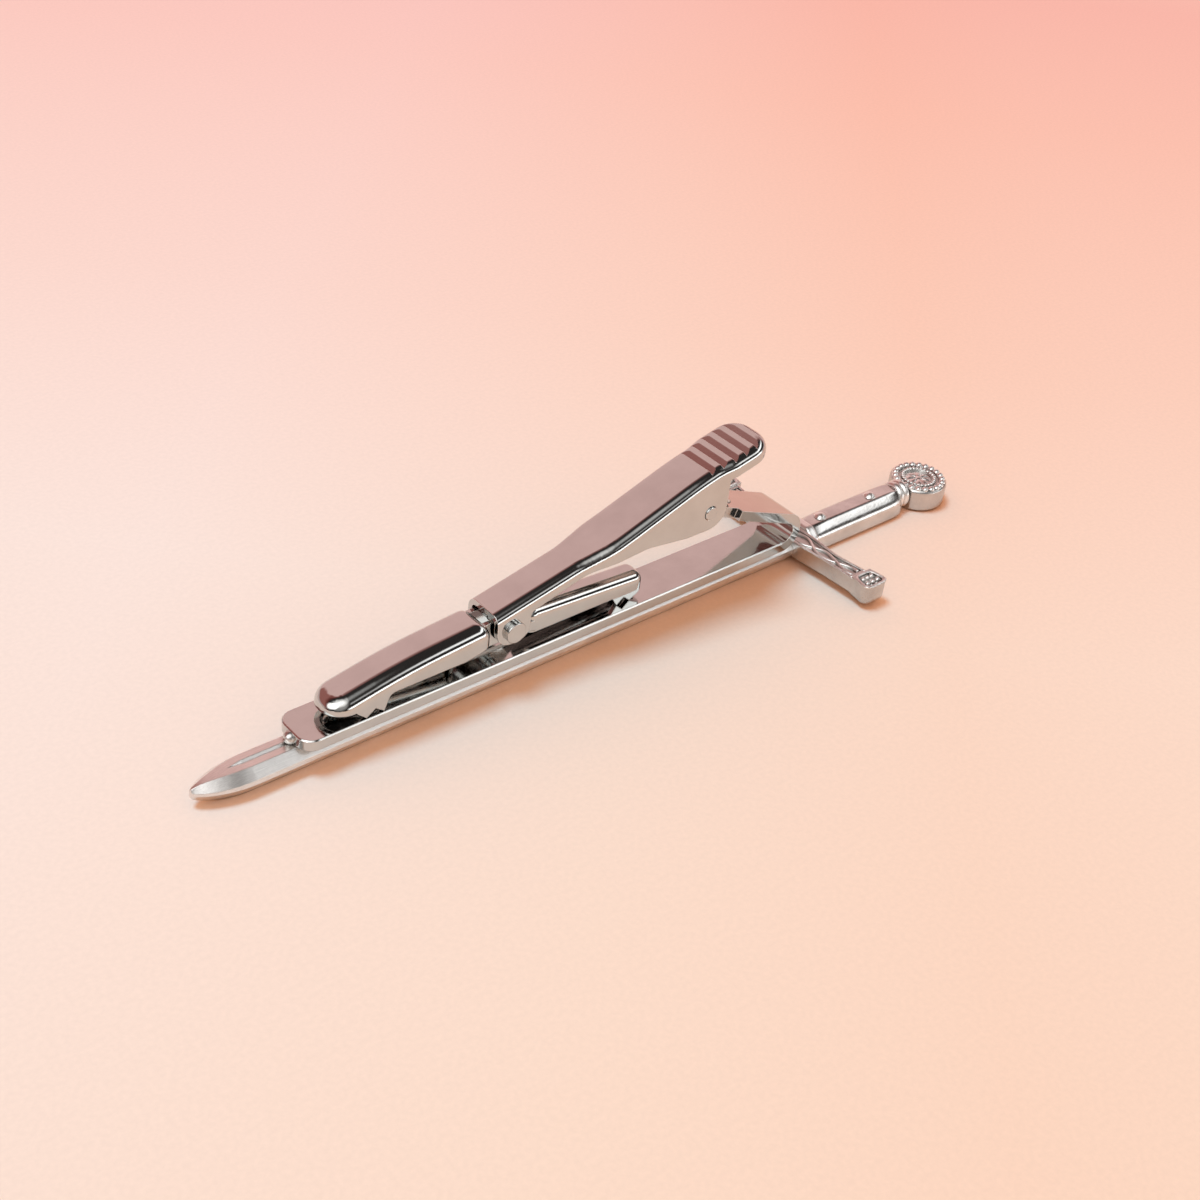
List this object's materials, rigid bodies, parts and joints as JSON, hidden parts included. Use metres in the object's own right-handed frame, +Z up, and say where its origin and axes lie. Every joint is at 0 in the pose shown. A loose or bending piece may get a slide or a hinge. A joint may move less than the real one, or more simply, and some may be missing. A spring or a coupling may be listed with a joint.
{
  "type": "tie clip",
  "caption": "Sprung tie clip in the form of a sword: a rocking toothed jaw under a thumb lever grips the tie against a folded strip soldered to the sword's back",
  "frame": {"origin": "below the middle of the sword's length, on the surface that the sword's face lies on", "axes": "X along the sword from its tip to its pommel, Y across it along the crossguard, Z up from the sword's face towards the clip on its back"},
  "size_m": [0.078, 0.02, 0.0147],
  "materials": {
    "sword_metal": "white plated casting, bright with a slight satin bloom, darkened in the recesses",
    "clip_metal": "mirror-bright nickel plate on pressed sheet",
    "spring_wire": "plain drawn spring wire",
    "solder": "dull soft solder"
  },
  "bodies": {
    "sword": {"blade": "sword_metal", "crossguard": "sword_metal", "guard_collar": "sword_metal", "grip": "sword_metal", "grip_rivets": "sword_metal", "pommel_collar": "sword_metal", "pommel": "sword_metal", "solder_bond": "solder", "base_plate": "clip_metal", "lever_spring": "spring_wire"},
    "lever": {"lever": "clip_metal", "lever_pin": "clip_metal", "jaw_rivet": "clip_metal"},
    "jaw": {"jaw": "clip_metal"}
  },
  "joints": [
    {"name": "lever_pivot", "type": "hinge", "parent": "sword", "child": "lever", "pos_m": [0.0065, 0, 0.0098], "axis": [0, 1, 0], "range_deg": [0, 28], "stiffness_Nm_per_rad": 0.03, "springref_deg": -22.92, "deforming": ["lever_spring"]},
    {"name": "jaw_rock", "type": "hinge", "parent": "lever", "child": "jaw", "pos_m": [-0.01265, 0, 0.00565], "axis": [0, 1, 0], "range_deg": [-17, 0]}
  ],
  "couplings": [
    {"joint": "jaw_rock", "follows": "lever_pivot", "ratio": -0.6}
  ]
}
